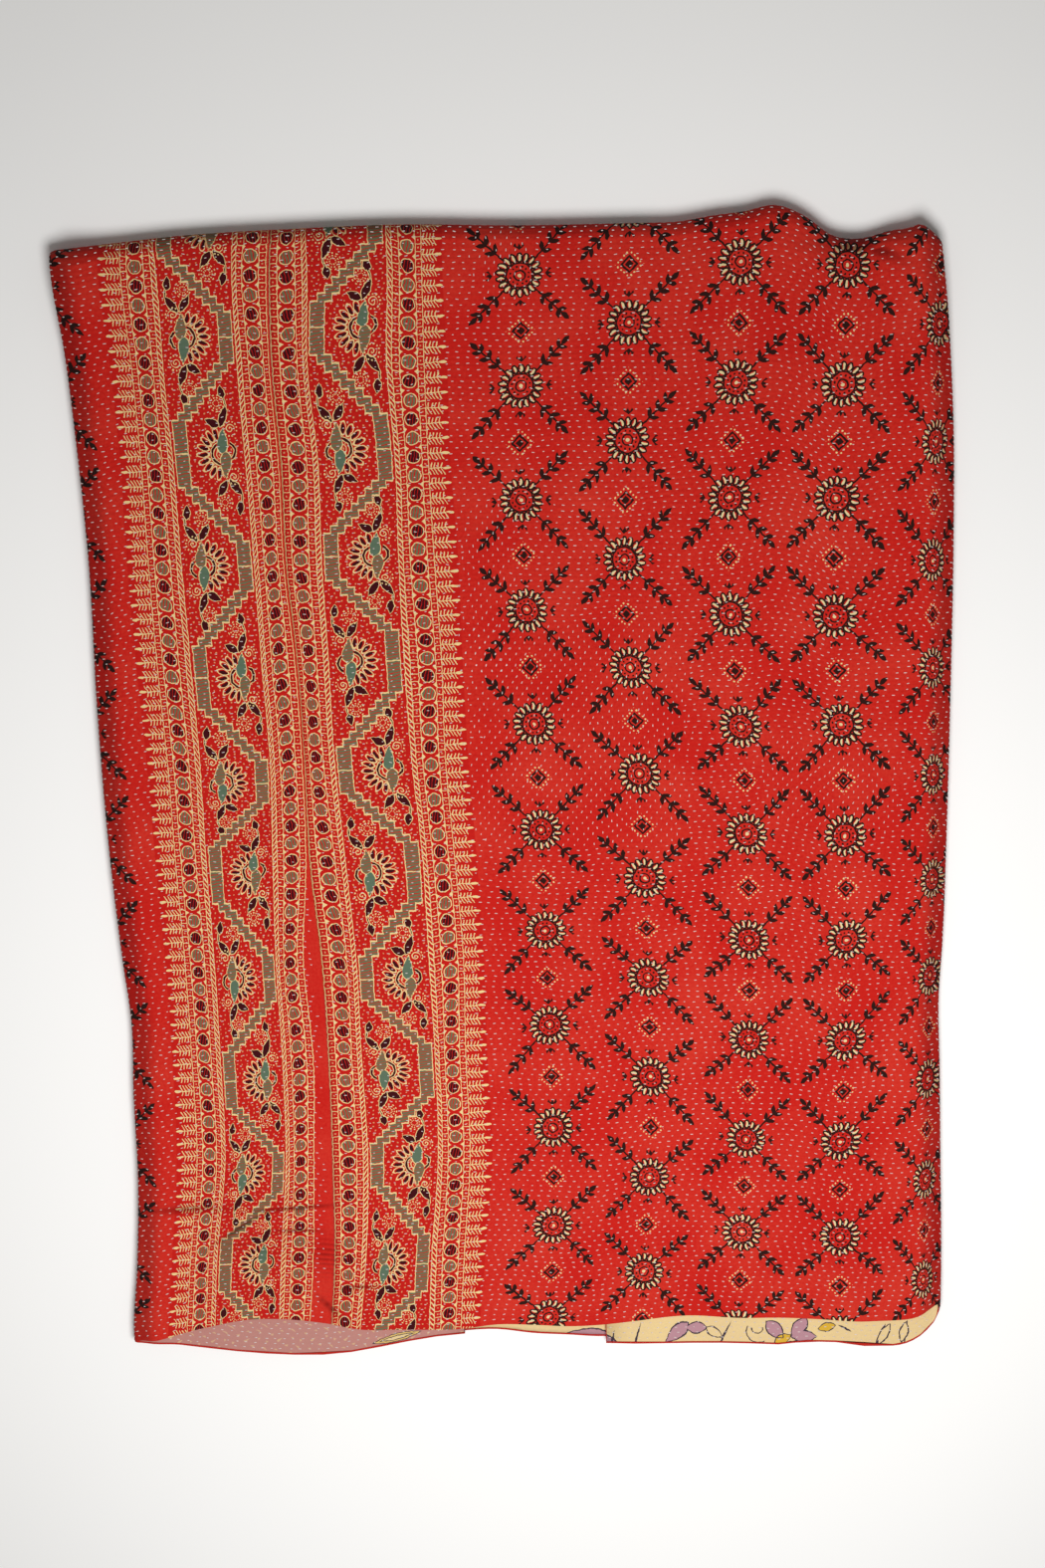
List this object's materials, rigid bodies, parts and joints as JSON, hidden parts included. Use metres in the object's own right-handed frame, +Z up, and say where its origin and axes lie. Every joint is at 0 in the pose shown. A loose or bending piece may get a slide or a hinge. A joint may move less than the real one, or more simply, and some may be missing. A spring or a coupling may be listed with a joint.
{
  "type": "folded kantha quilt",
  "caption": "Folded cotton quilt lying flat, sides turned under and halved over its top edge, with a printed face of two lengths seamed over a backing.",
  "frame": {"origin": "middle of the folded quilt's outline, on the surface it lies on", "axes": "+X across the folded quilt to the right, +Y towards its top fold, +Z up out of its face"},
  "size_m": [0.8704, 1.1942, 0.0302],
  "materials": {
    "printed_cotton": "worn matt cotton, block-printed, with rows of running stitches",
    "backing_cotton": "worn matt cotton, printed with large flowers"
  },
  "bodies": {
    "root": {"face_panel_left": "printed_cotton", "face_panel_right": "printed_cotton", "backing": "backing_cotton"}
  },
  "joints": []
}
